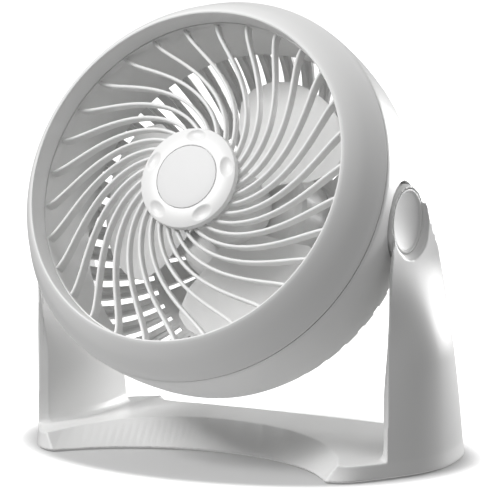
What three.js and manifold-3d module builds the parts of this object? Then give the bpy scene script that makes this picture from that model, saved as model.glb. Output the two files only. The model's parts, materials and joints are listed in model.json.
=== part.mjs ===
// Small table fan: a tilting round head held between the two arms of a moulded stand.
//
// Millimetres, +Z up, the fan blows towards -Y. The origin is on the table under the middle of
// the whole fan's bounding box. The head is drawn in its own frame, with its front grille
// towards +Z and the pivot axis along X, and is then turned up by its rest tilt.
import * as THREE from 'three';
import { mergeVertices } from 'three/addons/utils/BufferGeometryUtils.js';
import Module from 'manifold-3d';

const wasm = await Module();
wasm.setup();

// ---------------------------------------------------------------------------------------------
// Driving dimensions
// ---------------------------------------------------------------------------------------------
const GAP = 0.3; // clearance between pieces that touch on the real fan
const WALL = 2.4; // moulded wall thickness

// Stand
const PIVOT_HEIGHT = 151.4; // tilt axis above the table
const PIVOT_Y = 4.18; // tilt axis behind the origin
const REST_TILT = THREE.MathUtils.degToRad(25.5); // head looks up by this much
const FOOT_LIFT = 1.0; // rubber pads hold the stand this far off the table
const FOOT_HEIGHT = 10.8; // top of the feet
const BRIDGE_CROWN = 9.4; // how much higher the bridge is at its middle
const BRIDGE_HALF_LENGTH = 112; // the crown dies out here
const BASE_MIDDLE_Y = 20.2; // the base is symmetric front to back about this line
const BASE_HALF_WAIST = 28.9; // half the depth of the bridge at its middle, on the table
const FOOT_CORNER_X = 93.8; // inner corner of each foot
const FOOT_CORNER_HALF_DEPTH = 73.6;
const BRIDGE_DRAFT = 0.43; // how far the bridge's long walls lean in, per mm of height
const ARM_FRONT_Y = -26.9; // front edge of the arms
const ARM_BACK_Y = 68; // back edge of the arms at the feet
const ARM_OUTER_X = 121.8; // outer face of an arm at its edges
const ARM_BULGE = 17.5; // how far the outer face bulges at its middle
const ARM_INNER_X = 110.5; // inner face of an arm at the feet
const ARM_INNER_TOP_X = 121.2; // inner face where the arm meets its pivot boss
const PIVOT_BOSS_RADIUS = 22;
const PIVOT_BOSS_INNER_X = 110.2;
const PIVOT_COUNTERBORE_RADIUS = 13;
const PIVOT_COUNTERBORE_X = 114.1;
const CAP_SEAT_X = 117.2;
const CAP_RADIUS = 19.3;
const CAP_RIM_X = 121.2;
const CAP_DISH_DEPTH = 2.3;
const PAD_RADIUS = 6;

// Head: radii from the fan's axis and places along it, measured from the tilt axis
const LIP_RADIUS = 103.2;
const LIP_FRONT = 62.6;
const BAND_RADIUS = 102; // inside of the lip, where the grille sits
const HOOP_FRONT = 47.7;
const HOOP_BACK = 42.5;
const DUCT_RADIUS = 103.7;
const DUCT_BACK = -12;
const HEAD_SEGMENTS = 48; // one facet for each slot of the housing
const SEAM = 34; // front ring meets rear housing
const PIVOT_FLAT_X = 108.5; // flat in the housing's side that faces the arm's boss
const PIVOT_POCKET_RADIUS = 24;
const STUB_RADIUS = 5;
const RIB_COUNT = 30;
const RIB_TWIST = THREE.MathUtils.degToRad(-58);
const RIB_THICKNESS = 2.2;
const HUB_RADIUS = 30;
const CENTRE_CAP_RADIUS = 31.6;
const LABEL_RADIUS = 19.6;
const DIMPLE_COUNT = 5;
const SLOT_COUNT = 48;
const SLOT_FRONT = -16;
const BACK_WALL = -60; // outside of the housing's flat middle
const BACK_INSIDE = BACK_WALL + WALL;
const HOUSING_SCREW_RADIUS = 110.8; // pitch radius of the four housing screws
const HOUSING_SCREW_ANGLES = [45, 135, 225, 315];

// Motor and blade
const SHAFT_RADIUS = 3;
const BLADE_COUNT = 3;
const BLADE_TIP_RADIUS = 87;
const BLADE_HUB_RADIUS = 24;
const BLADE_PITCH = 0.2; // axial travel per mm of arc
const BLADE_MIDDLE = -1; // blade's mid plane along the axis
const BLADE_THICKNESS = 1.8;
const COVER_RADIUS = 44;
const STATOR_FRONT = -22;
const STATOR_BACK = -38;
const ROTOR_RADIUS = 16;
const MOTOR_BOLT_X = 27;
const KNOB_RADIUS = 17;
const KNOB_FRONT = -60.6;
const KNOB_BACK = -76;
const GLAND_OFFSET = 30; // cord gland below the knob

// ---------------------------------------------------------------------------------------------
// Materials
// ---------------------------------------------------------------------------------------------
function material(color, roughness, metalness = 0) {
  return new THREE.MeshStandardMaterial({ color, roughness, metalness });
}

const whitePlastic = () => material(0xeeeeec, 0.42);
const glossWhite = () => material(0xf6f6f4, 0.3);
const paleGrey = () => material(0xdedede, 0.5);
const darkRubber = () => material(0x3a3a3c, 0.85);
const blackPlastic = () => material(0x202022, 0.55);
const steel = () => material(0xa8abb0, 0.35, 1);
const zincSteel = () => material(0xbfc2c4, 0.4, 1);
const lamination = () => material(0x6d6f73, 0.5, 1);
const copper = () => material(0xb5653a, 0.4, 1);
const bronze = () => material(0x9c7a45, 0.45, 1);
const aluminium = () => material(0xc9ccd0, 0.4, 1);

// ---------------------------------------------------------------------------------------------
// Solids
// ---------------------------------------------------------------------------------------------
function signedVolume(positions, triangles) {
  const a = new THREE.Vector3();
  const b = new THREE.Vector3();
  const c = new THREE.Vector3();
  let volume = 0;
  for (let i = 0; i < triangles.length; i += 3) {
    a.fromArray(positions, triangles[i] * 3);
    b.fromArray(positions, triangles[i + 1] * 3);
    c.fromArray(positions, triangles[i + 2] * 3);
    volume += a.dot(b.cross(c)) / 6;
  }
  return volume;
}

// A closed three.js geometry as a solid, with its faces pointing out.
function solid(geometry) {
  geometry.deleteAttribute('normal');
  geometry.deleteAttribute('uv');
  const merged = mergeVertices(geometry, 1e-4);
  const positions = merged.attributes.position.array;
  const source = merged.index.array;
  const triangles = [];
  for (let i = 0; i < source.length; i += 3) {
    const [a, b, c] = [source[i], source[i + 1], source[i + 2]];
    if (a !== b && b !== c && c !== a) triangles.push(a, b, c);
  }
  if (signedVolume(positions, triangles) < 0) triangles.reverse();
  const mesh = new wasm.Mesh({
    numProp: 3,
    vertProperties: new Float32Array(positions),
    triVerts: new Uint32Array(triangles),
  });
  return new wasm.Manifold(mesh);
}

function geometryOf(shape) {
  const mesh = shape.getMesh();
  const geometry = new THREE.BufferGeometry();
  geometry.setAttribute('position', new THREE.BufferAttribute(new Float32Array(mesh.vertProperties), 3));
  geometry.setIndex(new THREE.BufferAttribute(new Uint32Array(mesh.triVerts), 1));
  geometry.computeVertexNormals();
  return geometry;
}

function part(name, shape, finish) {
  const mesh = new THREE.Mesh(geometryOf(shape), finish);
  mesh.name = name;
  return mesh;
}

function join(first, ...others) {
  return others.reduce((whole, piece) => whole.add(piece), first);
}

function cut(first, ...others) {
  return others.reduce((whole, piece) => whole.subtract(piece), first);
}

// Closed profile of [radius, place] points turned about the Z axis.
function turned(profile, segments = 48) {
  const points = profile.map(([radius, place]) => new THREE.Vector2(radius, place));
  points.push(points[0].clone());
  const geometry = new THREE.LatheGeometry(points, segments);
  geometry.rotateX(Math.PI / 2);
  return solid(geometry);
}

function cylinderZ(radius, low, high, segments = 16, x = 0, y = 0) {
  const geometry = new THREE.CylinderGeometry(radius, radius, high - low, segments);
  geometry.rotateX(Math.PI / 2);
  geometry.translate(x, y, (low + high) / 2);
  return solid(geometry);
}

function cylinderX(radius, low, high, segments = 20, outerRadius = radius) {
  const geometry = new THREE.CylinderGeometry(outerRadius, radius, high - low, segments);
  geometry.rotateZ(-Math.PI / 2);
  geometry.translate((low + high) / 2, 0, 0);
  return solid(geometry);
}

function box(low, high) {
  const geometry = new THREE.BoxGeometry(high[0] - low[0], high[1] - low[1], high[2] - low[2]);
  geometry.translate((low[0] + high[0]) / 2, (low[1] + high[1]) / 2, (low[2] + high[2]) / 2);
  return solid(geometry);
}

// Skin through rings of equal length. The points of a ring run along one side and back along
// the other, so that point i faces point n - 1 - i, and the end caps are strips between them.
function loft(rings) {
  const count = rings[0].length;
  const positions = rings.flat().flatMap((point) => [point.x, point.y, point.z]);
  const triangles = [];
  for (let ring = 0; ring + 1 < rings.length; ring += 1) {
    for (let i = 0; i < count; i += 1) {
      const a = ring * count + i;
      const b = ring * count + ((i + 1) % count);
      triangles.push(a, b, b + count, a, b + count, a + count);
    }
  }
  const last = (rings.length - 1) * count;
  for (let i = 0; i + 1 < count / 2; i += 1) {
    const [a, b, c, d] = [i, i + 1, count - 2 - i, count - 1 - i];
    triangles.push(a, c, b, a, d, c);
    triangles.push(last + a, last + b, last + c, last + a, last + c, last + d);
  }
  const geometry = new THREE.BufferGeometry();
  geometry.setAttribute('position', new THREE.Float32BufferAttribute(positions, 3));
  geometry.setIndex(triangles);
  return solid(geometry);
}

// Outline in the X-Y plane, extruded from one height to another.
function extrudedZ(outline, low, high) {
  const shape = new THREE.Shape(outline.map(([x, y]) => new THREE.Vector2(x, y)));
  const geometry = new THREE.ExtrudeGeometry(shape, { depth: high - low, bevelEnabled: false });
  geometry.translate(0, 0, low);
  return solid(geometry);
}

// Outline of [y, z] points, extruded along X.
function extrudedX(outline, low, high) {
  const shape = new THREE.Shape(outline.map(([y, z]) => new THREE.Vector2(y, z)));
  const geometry = new THREE.ExtrudeGeometry(shape, { depth: high - low, bevelEnabled: false });
  const axes = new THREE.Matrix4().makeBasis(
    new THREE.Vector3(0, 1, 0),
    new THREE.Vector3(0, 0, 1),
    new THREE.Vector3(1, 0, 0),
  );
  geometry.applyMatrix4(axes);
  geometry.translate(low, 0, 0);
  return solid(geometry);
}

// Outline of [x, z] points, extruded along Y.
function extrudedY(outline, low, high) {
  const shape = new THREE.Shape(outline.map(([x, z]) => new THREE.Vector2(x, z)));
  const geometry = new THREE.ExtrudeGeometry(shape, { depth: high - low, bevelEnabled: false });
  geometry.rotateX(Math.PI / 2);
  geometry.translate(0, high, 0);
  return solid(geometry);
}

function turnedAboutZ(shape, degrees) {
  return shape.rotate([0, 0, degrees]);
}

function onSide(shape, side) {
  return side > 0 ? shape : shape.mirror([1, 0, 0]);
}

function steps(count, low, high) {
  return Array.from({ length: count + 1 }, (unused, i) => low + ((high - low) * i) / count);
}

function mix(from, to, share) {
  return from + (to - from) * share;
}

// ---------------------------------------------------------------------------------------------
// Stand. Drawn with the tilt axis over y = 0.
// ---------------------------------------------------------------------------------------------

// Half-depth of the base at a place along X: two hollow arcs on the bridge, then each foot's end.
function baseHalfDepth(x, inset, height) {
  const lean = BRIDGE_DRAFT * height;
  const rise = FOOT_CORNER_HALF_DEPTH - BASE_HALF_WAIST;
  const radius = (FOOT_CORNER_X ** 2 + rise ** 2) / (2 * rise);
  const reach = Math.abs(x);
  if (reach <= FOOT_CORNER_X) {
    return BASE_HALF_WAIST + radius - Math.sqrt(radius ** 2 - reach ** 2) - lean - inset;
  }
  const share = (reach - FOOT_CORNER_X) / (footEnd(inset) - FOOT_CORNER_X);
  const round = Math.sqrt(Math.max(0, 1 - share ** 2.6));
  return 4 + (FOOT_CORNER_HALF_DEPTH - 4 - lean * (1 - share) - inset) * round;
}

function footEnd(inset) {
  return 138.9 - inset;
}

function baseRing(height, inset) {
  const side = [0, 0.24, 0.46, 0.66].map((share) => share * footEnd(inset));
  const foot = [0.76, 0.87, 0.95, 0.99, 1].map((share) => share * footEnd(inset));
  const right = [...side, ...foot];
  const across = [...right.slice(1).reverse().map((x) => -x), ...right];
  const front = across.map((x) => new THREE.Vector3(
    x, BASE_MIDDLE_Y - baseHalfDepth(x, inset, height - FOOT_LIFT), height,
  ));
  const back = across.map((x) => new THREE.Vector3(
    x, BASE_MIDDLE_Y + baseHalfDepth(x, inset, height - FOOT_LIFT), height,
  ));
  return [...front, ...back.reverse()];
}

function crownHeight(x) {
  const share = Math.min(1, Math.abs(x) / BRIDGE_HALF_LENGTH);
  return FOOT_HEIGHT + BRIDGE_CROWN * Math.cos((share * Math.PI) / 2) ** 2;
}

function bridge(inset, bottom) {
  const block = loft([baseRing(bottom, inset), baseRing(FOOT_HEIGHT + BRIDGE_CROWN + 1, inset)]);
  const outline = steps(10, -BRIDGE_HALF_LENGTH, BRIDGE_HALF_LENGTH).map((x) => [x, crownHeight(x) - inset]);
  outline.unshift([-150, FOOT_HEIGHT - inset]);
  outline.push([150, FOOT_HEIGHT - inset], [150, bottom - 1], [-150, bottom - 1]);
  return block.intersect(extrudedY(outline, -80, 120));
}

function armBack(z) {
  const rise = Math.max(0, z - FOOT_HEIGHT);
  return ARM_BACK_Y - 0.2 * rise - 0.00077 * rise ** 2;
}

function armOuter(y, z) {
  const height = THREE.MathUtils.clamp(z / PIVOT_HEIGHT, 0, 1);
  const middle = mix(15, 0, height ** 1.5);
  const reach = y < middle ? middle - ARM_FRONT_Y + 1 : armBack(z) - middle + 1;
  const bulge = ARM_BULGE * Math.sqrt(Math.max(0.004, 1 - height ** 2.2));
  const flare = 5 * Math.exp(-z / 9);
  const lean = 1.2 * Math.sin(height * Math.PI);
  const edge = ((y - middle) / reach) ** 2;
  return ARM_OUTER_X + lean + flare * edge + bulge * (1 - edge);
}

function armInner(y, z) {
  const height = Math.min(1, Math.max(0, (z - FOOT_HEIGHT) / 105));
  const frontBevel = 9 * Math.max(0, 1 - (y - ARM_FRONT_Y) / 9) ** 1.3 * (1 - height);
  const hollow = 3.5 * ((y - 20) / 48) ** 2 * (1 - height);
  return mix(ARM_INNER_X, ARM_INNER_TOP_X, height) + Math.max(frontBevel, hollow);
}

function armRing(z, inset) {
  const along = steps(5, ARM_FRONT_Y + inset, armBack(z) - inset);
  const outer = along.map((y) => new THREE.Vector3(armOuter(y, z) - inset, y, z));
  const inner = along.map((y) => new THREE.Vector3(armInner(y, z) + inset, y, z));
  return [...outer, ...inner.reverse()];
}

function armSideOutline(bottom) {
  const front = [[ARM_FRONT_Y - 2, bottom - 1], [ARM_FRONT_Y, FOOT_HEIGHT], [-PIVOT_BOSS_RADIUS, PIVOT_HEIGHT]];
  const top = steps(6, 170, 24).map((degrees) => {
    const angle = THREE.MathUtils.degToRad(degrees);
    return [PIVOT_BOSS_RADIUS * Math.cos(angle), PIVOT_HEIGHT + PIVOT_BOSS_RADIUS * Math.sin(angle)];
  });
  const back = steps(4, 146, FOOT_HEIGHT).map((z) => [armBack(z), z]);
  return [...front, ...top, ...back, [ARM_BACK_Y, bottom - 1]];
}

function arm(bottom) {
  const heights = [bottom, 9, 30, 70, 104, 130, 150, 178];
  const column = loft(heights.map((z) => armRing(z, 0)));
  return column.intersect(extrudedX(armSideOutline(bottom), 100, 150));
}

function armHollow(bottom) {
  const heights = [bottom, 20, 60, 104];
  return loft(heights.map((z) => armRing(z, WALL)));
}

function pivotBoss() {
  return cylinderX(PIVOT_BOSS_RADIUS, PIVOT_BOSS_INNER_X, ARM_OUTER_X + 0.6, 24).translate([0, 0, PIVOT_HEIGHT]);
}

function pivotBore() {
  const seat = cylinderX(CAP_RADIUS + GAP, CAP_SEAT_X, CAP_RIM_X, 24);
  const mouth = cylinderX(CAP_RADIUS + GAP, CAP_RIM_X - 0.4, CAP_RIM_X + 9, 24, CAP_RADIUS + 4.5);
  const counterbore = cylinderX(PIVOT_COUNTERBORE_RADIUS, PIVOT_COUNTERBORE_X, CAP_SEAT_X + 1);
  const hole = cylinderX(STUB_RADIUS + GAP, 100, PIVOT_COUNTERBORE_X + 1);
  return join(seat, mouth, counterbore, hole).translate([0, 0, PIVOT_HEIGHT]);
}

const PAD_PLACES = {
  front_left: [-106, BASE_MIDDLE_Y - 52],
  front_right: [106, BASE_MIDDLE_Y - 52],
  back_left: [-106, BASE_MIDDLE_Y + 52],
  back_right: [106, BASE_MIDDLE_Y + 52],
};

function padSocket(x, y) {
  const post = cylinderZ(PAD_RADIUS + 2, FOOT_LIFT, FOOT_HEIGHT - 1, 20, x, y);
  return cut(post, cylinderZ(PAD_RADIUS + GAP, FOOT_LIFT - 1, FOOT_LIFT + 1.4, 20, x, y));
}

function stand() {
  let shape = bridge(0, FOOT_LIFT);
  for (const side of [1, -1]) {
    shape = join(shape, onSide(arm(FOOT_LIFT), side), onSide(pivotBoss(), side));
  }
  shape = cut(shape, bridge(WALL, FOOT_LIFT - 2));
  for (const side of [1, -1]) {
    shape = cut(shape, onSide(armHollow(FOOT_LIFT - 2), side), onSide(pivotBore(), side));
  }
  for (const [x, y] of Object.values(PAD_PLACES)) {
    shape = join(shape, padSocket(x, y));
  }
  return shape;
}

function footPad(x, y) {
  return cylinderZ(PAD_RADIUS, 0, FOOT_LIFT + 1.1, 20, x, y);
}

function pivotCap() {
  const rim = CAP_RIM_X;
  const profile = [
    [0, CAP_SEAT_X + GAP], [CAP_RADIUS, CAP_SEAT_X + GAP], [CAP_RADIUS, rim], [CAP_RADIUS - 1.3, rim],
    [12, rim - 0.7 * CAP_DISH_DEPTH], [0, rim - CAP_DISH_DEPTH],
  ];
  return turned(profile, 24).rotate([0, 90, 0]);
}

function pivotWasher() {
  return cut(
    cylinderX(10, PIVOT_COUNTERBORE_X + GAP, PIVOT_COUNTERBORE_X + 1.3),
    cylinderX(2.6, 100, 130, 16),
  );
}

function pivotScrew() {
  const headStart = PIVOT_COUNTERBORE_X + 1.6;
  const shape = join(
    cylinderX(2, PIVOT_FLAT_X - 2, headStart + 0.2, 16),
    cylinderX(5.5, headStart, CAP_SEAT_X - 0.1, 24, 4.6),
  );
  return cut(shape, box([CAP_SEAT_X - 0.8, -3, -0.6], [CAP_SEAT_X + 1, 3, 0.6]));
}

function frictionWasher() {
  return cut(
    cylinderX(20, PIVOT_FLAT_X + GAP, PIVOT_BOSS_INNER_X - GAP),
    cylinderX(STUB_RADIUS + 0.6, 100, 130, 20),
  );
}

// ---------------------------------------------------------------------------------------------
// Head shells
// ---------------------------------------------------------------------------------------------

// Outside of the front ring from the seam to the lip.
const RING_OUTSIDE = [
  [120.2, SEAM + GAP], [119.5, 37], [114.8, 47], [109.8, 55.4], [104.4, 62.2],
];

// Outside of the rear housing from the seam to its flat middle.
const HOUSING_OUTSIDE = [
  [120.3, SEAM], [120.4, 18], [117, -10], [104, -35], [78, -51.5], [50, -57.6], [47, BACK_WALL],
];

function screwBossZ(radius, low, high, angle) {
  const turn = THREE.MathUtils.degToRad(angle);
  const x = HOUSING_SCREW_RADIUS * Math.cos(turn);
  const y = HOUSING_SCREW_RADIUS * Math.sin(turn);
  return cylinderZ(radius, low, high, 16, x, y);
}

function frontRing() {
  const inner = [
    [LIP_RADIUS, LIP_FRONT], [LIP_RADIUS - 0.7, LIP_FRONT - 0.9], [BAND_RADIUS, HOOP_FRONT + GAP],
    [DUCT_RADIUS, HOOP_FRONT + GAP], [DUCT_RADIUS, DUCT_BACK], [DUCT_RADIUS + 1.8, DUCT_BACK],
    [DUCT_RADIUS + 1.8, 51], [106.3, 54.6], [112.8, 45], [117.6, SEAM + GAP],
  ];
  const shell = turned([...RING_OUTSIDE, ...inner], HEAD_SEGMENTS);
  const between = turned([
    ...RING_OUTSIDE.slice(0, -1), [DUCT_RADIUS + 1, 55], [DUCT_RADIUS + 1, 6], [120.2, 6],
  ], HEAD_SEGMENTS);
  const bosses = HOUSING_SCREW_ANGLES.map((angle) => screwBossZ(4.9, 8.4, 49, angle).intersect(between));
  const holes = HOUSING_SCREW_ANGLES.map((angle) => screwBossZ(1.5 + GAP, 0, 30, angle));
  return cut(join(shell, ...bosses), ...holes);
}

function housingInside() {
  const skin = HOUSING_OUTSIDE.slice(0, -2).map(([radius, place], i) => {
    const before = HOUSING_OUTSIDE[Math.max(0, i - 1)];
    const after = HOUSING_OUTSIDE[i + 1];
    const run = new THREE.Vector2(after[0] - before[0], after[1] - before[1]).normalize();
    return [radius + run.y * WALL, place - run.x * WALL];
  });
  skin[0] = [120.3 - WALL, SEAM + 5];
  return turned([...skin, [46, BACK_INSIDE], [0, BACK_INSIDE], [0, SEAM + 5]], HEAD_SEGMENTS);
}

function slotCutter(inner, outer, innerWidth, outerWidth, front, angle) {
  const outline = [
    [inner, -innerWidth / 2], [outer, -outerWidth / 2], [outer, outerWidth / 2], [inner, innerWidth / 2],
  ];
  return turnedAboutZ(extrudedZ(outline, BACK_WALL - 5, front), angle);
}

function rearHousing() {
  const whole = turned([...HOUSING_OUTSIDE, [0, BACK_WALL], [0, SEAM]], HEAD_SEGMENTS);
  let shape = cut(whole, housingInside());
  for (let i = 0; i < SLOT_COUNT; i += 1) {
    const angle = (360 / SLOT_COUNT) * (i + 0.5);
    shape = cut(shape, slotCutter(79.5, 130, 5, 8, SLOT_FRONT, angle));
    if (i % 2 === 0) shape = cut(shape, slotCutter(53, 73, 3.6, 5.2, -40, angle));
  }
  for (const side of [1, -1]) {
    const cup = cylinderX(PIVOT_POCKET_RADIUS + 2, PIVOT_FLAT_X - 2, 125, 40).intersect(whole);
    shape = join(shape, onSide(cup, side));
    shape = cut(shape, onSide(cylinderX(PIVOT_POCKET_RADIUS, PIVOT_FLAT_X, 130, 40), side));
    shape = join(shape, onSide(cylinderX(STUB_RADIUS, PIVOT_FLAT_X - 1, PIVOT_COUNTERBORE_X - 0.2, 24), side));
    shape = cut(shape, onSide(cylinderX(2 + GAP, 90, 130, 16), side));
  }
  for (const angle of HOUSING_SCREW_ANGLES) {
    shape = join(shape, screwBossZ(4.9, -45, 8, angle).intersect(whole));
    shape = cut(shape, screwBossZ(3 + GAP, -60, 4, angle), screwBossZ(1.5 + GAP, 0, 12, angle));
  }
  for (const side of [1, -1]) {
    const post = cylinderZ(4.5, BACK_INSIDE - 1, -45.6, 16, side * MOTOR_BOLT_X, 0);
    shape = cut(join(shape, post), cylinderZ(1.8, BACK_INSIDE + 2, -40, 12, side * MOTOR_BOLT_X, 0));
  }
  const spindleHole = cylinderZ(4 + GAP, BACK_WALL - 1, BACK_INSIDE + 1, 20);
  const glandHole = cylinderZ(4.5 + GAP, BACK_WALL - 3, -50, 14, 0, -GLAND_OFFSET);
  return cut(shape, spindleHole, glandHole);
}

function housingScrew(angle) {
  return join(screwBossZ(3, 1, 3.9, angle), screwBossZ(1.5, 3.5, 26, angle));
}

// ---------------------------------------------------------------------------------------------
// Front grille
// ---------------------------------------------------------------------------------------------
function ribFront(radius) {
  return HOOP_FRONT - 1 + 5.5 * (1 - (radius / BAND_RADIUS) ** 2);
}

function rib(angle) {
  const start = HUB_RADIUS - 2;
  const end = BAND_RADIUS;
  const place = (radius) => {
    const share = Math.max(0, (end - radius) / (end - 33));
    const turn = angle + RIB_TWIST * share ** 1.55;
    return new THREE.Vector3(radius * Math.cos(turn), radius * Math.sin(turn), 0);
  };
  const rings = steps(5, start, end).map((radius) => {
    const here = place(radius);
    const run = place(radius + 0.5).sub(place(radius - 0.5)).normalize();
    const side = new THREE.Vector3(-run.y, run.x, 0).multiplyScalar(RIB_THICKNESS / 2);
    const front = ribFront(radius);
    const back = front - mix(4.5, 7.5, (radius - start) / (end - start));
    const lift = (point, z) => new THREE.Vector3(point.x, point.y, z);
    return [
      lift(here.clone().add(side), back), lift(here.clone().add(side), front),
      lift(here.clone().sub(side), front), lift(here.clone().sub(side), back),
    ];
  });
  return loft(rings);
}

function frontGrille() {
  const hoop = turned([
    [BAND_RADIUS - 0.6, HOOP_FRONT], [DUCT_RADIUS - GAP, HOOP_FRONT],
    [DUCT_RADIUS - GAP, HOOP_BACK], [BAND_RADIUS - 0.6, HOOP_BACK],
  ], HEAD_SEGMENTS);
  const hub = turned([[22, 46], [HUB_RADIUS, 46], [HUB_RADIUS, 51.6], [22, 51.6]], 30);
  let shape = join(hoop, hub);
  for (let i = 0; i < RIB_COUNT; i += 1) {
    shape = join(shape, rib((i / RIB_COUNT) * Math.PI * 2));
  }
  return shape;
}

function ellipsoid(radii, centre, turn) {
  const geometry = new THREE.SphereGeometry(1, 12, 6);
  geometry.scale(...radii);
  geometry.translate(...centre);
  geometry.rotateZ(turn);
  return solid(geometry);
}

function centreCap() {
  let shape = turned([
    [0, 52], [CENTRE_CAP_RADIUS, 52], [CENTRE_CAP_RADIUS, 54.2], [30.4, 56], [27.5, 57.3],
    [LABEL_RADIUS + GAP, 58.2], [LABEL_RADIUS + GAP, 57.2], [0, 57.2],
  ], 30);
  for (let i = 0; i < DIMPLE_COUNT; i += 1) {
    const turn = THREE.MathUtils.degToRad(90 + (360 / DIMPLE_COUNT) * i);
    shape = cut(shape, ellipsoid([3, 5.5, 1.6], [25.8, 0, 58.1], turn));
  }
  return shape;
}

function labelDisc() {
  return turned([[0, 57.5], [LABEL_RADIUS, 57.5], [LABEL_RADIUS, 58.3], [10, 58.9], [0, 59.1]], 24);
}

// ---------------------------------------------------------------------------------------------
// Motor, switch and blade
// ---------------------------------------------------------------------------------------------
function motorCover() {
  const shell = turned([
    [7, -12], [38, -12], [42, -13.5], [COVER_RADIUS, -17], [COVER_RADIUS, BACK_INSIDE + GAP],
    [COVER_RADIUS - 1.8, BACK_INSIDE + GAP], [COVER_RADIUS - 1.8, -17.6], [41, -15.2], [37.6, -13.8], [7, -13.8],
  ], 30);
  return shell;
}

function endBracket(low, bearingLow, bearingHigh) {
  const strap = box([-MOTOR_BOLT_X - 6, -8, low], [MOTOR_BOLT_X + 6, 8, low + 2]);
  const dome = cylinderZ(10, bearingLow, bearingHigh);
  const bolts = [1, -1].map((side) => cylinderZ(1.5 + GAP, -60, 0, 8, side * MOTOR_BOLT_X, 0));
  return cut(join(strap, dome), cylinderZ(6.8 + GAP, -60, 0), ...bolts);
}

function bearing(low, high) {
  return cut(cylinderZ(6.8, low, high), cylinderZ(SHAFT_RADIUS + GAP, -60, 0, 12));
}

function statorCore() {
  const block = box([-31, -26, STATOR_BACK], [31, 20, STATOR_FRONT]);
  const rotorBore = cylinderZ(ROTOR_RADIUS + 0.6, -60, 0, 24);
  const windows = [1, -1].map((side) => box(
    [side > 0 ? 13 : -22, -22, -60], [side > 0 ? 22 : -13, -17.5, 0],
  ));
  const bolts = [1, -1].map((side) => cylinderZ(1.5 + GAP, -60, 0, 12, side * MOTOR_BOLT_X, 0));
  return cut(block, rotorBore, ...windows, ...bolts);
}

function statorCoil() {
  return box([-12, -36, STATOR_BACK - 2], [12, -26.4, STATOR_FRONT + 2]);
}

function rotor() {
  return cut(
    cylinderZ(ROTOR_RADIUS, STATOR_BACK + 0.5, STATOR_FRONT - 0.5, 24),
    cylinderZ(SHAFT_RADIUS + GAP, -60, 0, 12),
  );
}

function motorShaft() {
  return cylinderZ(SHAFT_RADIUS, -44.4, 15.5, 12);
}

function motorBolt(side) {
  const x = side * MOTOR_BOLT_X;
  return join(cylinderZ(1.5, -54, -16.5, 12, x, 0), cylinderZ(3, -16.7, -14.6, 16, x, 0));
}

function bladeRing(radius, halfAngle) {
  const angles = steps(5, -halfAngle, halfAngle).map((degrees) => THREE.MathUtils.degToRad(degrees));
  const surface = (angle, offset) => {
    const camber = 3 * (1 - (angle / THREE.MathUtils.degToRad(halfAngle)) ** 2);
    const z = BLADE_MIDDLE - BLADE_PITCH * radius * angle * mix(1.35, 0.8, radius / BLADE_TIP_RADIUS) - camber;
    return new THREE.Vector3(radius * Math.cos(angle), radius * Math.sin(angle), z + offset);
  };
  const front = angles.map((angle) => surface(angle, BLADE_THICKNESS / 2));
  const back = angles.map((angle) => surface(angle, -BLADE_THICKNESS / 2));
  return [...front, ...back.reverse()];
}

function fanBlade() {
  const sections = [[22.5, 26], [36, 35], [56, 42], [73, 41], [82, 32], [BLADE_TIP_RADIUS, 17]];
  const blade = loft(sections.map(([radius, halfAngle]) => bladeRing(radius, halfAngle)));
  const hubShell = turned([
    [0, 12.4], [16, 12], [BLADE_HUB_RADIUS, 6], [BLADE_HUB_RADIUS, -9],
    [BLADE_HUB_RADIUS - 2, -9], [BLADE_HUB_RADIUS - 2, 5], [15, 9.8], [7, 10], [7, -7], [0, -7],
  ], 24);
  let shape = hubShell;
  for (let i = 0; i < BLADE_COUNT; i += 1) {
    shape = join(shape, turnedAboutZ(blade, 60 + (360 / BLADE_COUNT) * i));
  }
  return cut(shape, cylinderZ(SHAFT_RADIUS + GAP, -20, 20, 12));
}

function bladeNut() {
  const shape = join(cylinderZ(6.5, 12.8, 14.4), turned([[0, 14.2], [5.5, 14.2], [5, 18.5], [0, 20.4]], 16));
  return cut(shape, cylinderZ(SHAFT_RADIUS + GAP, 10, 15.5 + GAP, 12));
}

function rotarySwitch() {
  const body = box([-12, -11, -56.6], [12, 11, -47.6]);
  return cut(body, cylinderZ(3 + GAP, -60, -50, 20));
}

function switchSpindle() {
  return cylinderZ(3, -70, -50.4, 20);
}

function speedKnob() {
  const skirt = turned([
    [0, KNOB_FRONT], [KNOB_RADIUS, KNOB_FRONT], [KNOB_RADIUS, -64], [KNOB_RADIUS - 1.5, -66], [0, -66],
  ], 28);
  const grip = box([-3.2, -14.6, KNOB_BACK], [3.2, 14.6, -65.5]);
  return cut(join(skirt, grip), cylinderZ(3 + GAP, -70.4, -50, 20));
}

function cordGland() {
  const profile = [
    [2.6, -55], [6.4, -55], [6.4, -56.8], [4.5, -56.8], [4.5, -61.2], [6.8, -61.2], [5.2, -70], [2.6, -70],
  ];
  return turned(profile, 14).translate([0, -GLAND_OFFSET, 0]);
}

// ---------------------------------------------------------------------------------------------
// Assembly
// ---------------------------------------------------------------------------------------------
function standGroup() {
  const group = new THREE.Group();
  group.position.y = PIVOT_Y;
  group.add(part('stand', stand(), whitePlastic()));
  for (const [corner, [x, y]] of Object.entries(PAD_PLACES)) {
    group.add(part(`foot_pad_${corner}`, footPad(x, y), darkRubber()));
  }
  const pivot = new THREE.Group();
  pivot.position.z = PIVOT_HEIGHT;
  for (const [name, side] of [['right', 1], ['left', -1]]) {
    pivot.add(part(`pivot_cap_${name}`, onSide(pivotCap(), side), whitePlastic()));
    pivot.add(part(`friction_washer_${name}`, onSide(frictionWasher(), side), blackPlastic()));
  }
  group.add(pivot);
  return group;
}

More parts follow.
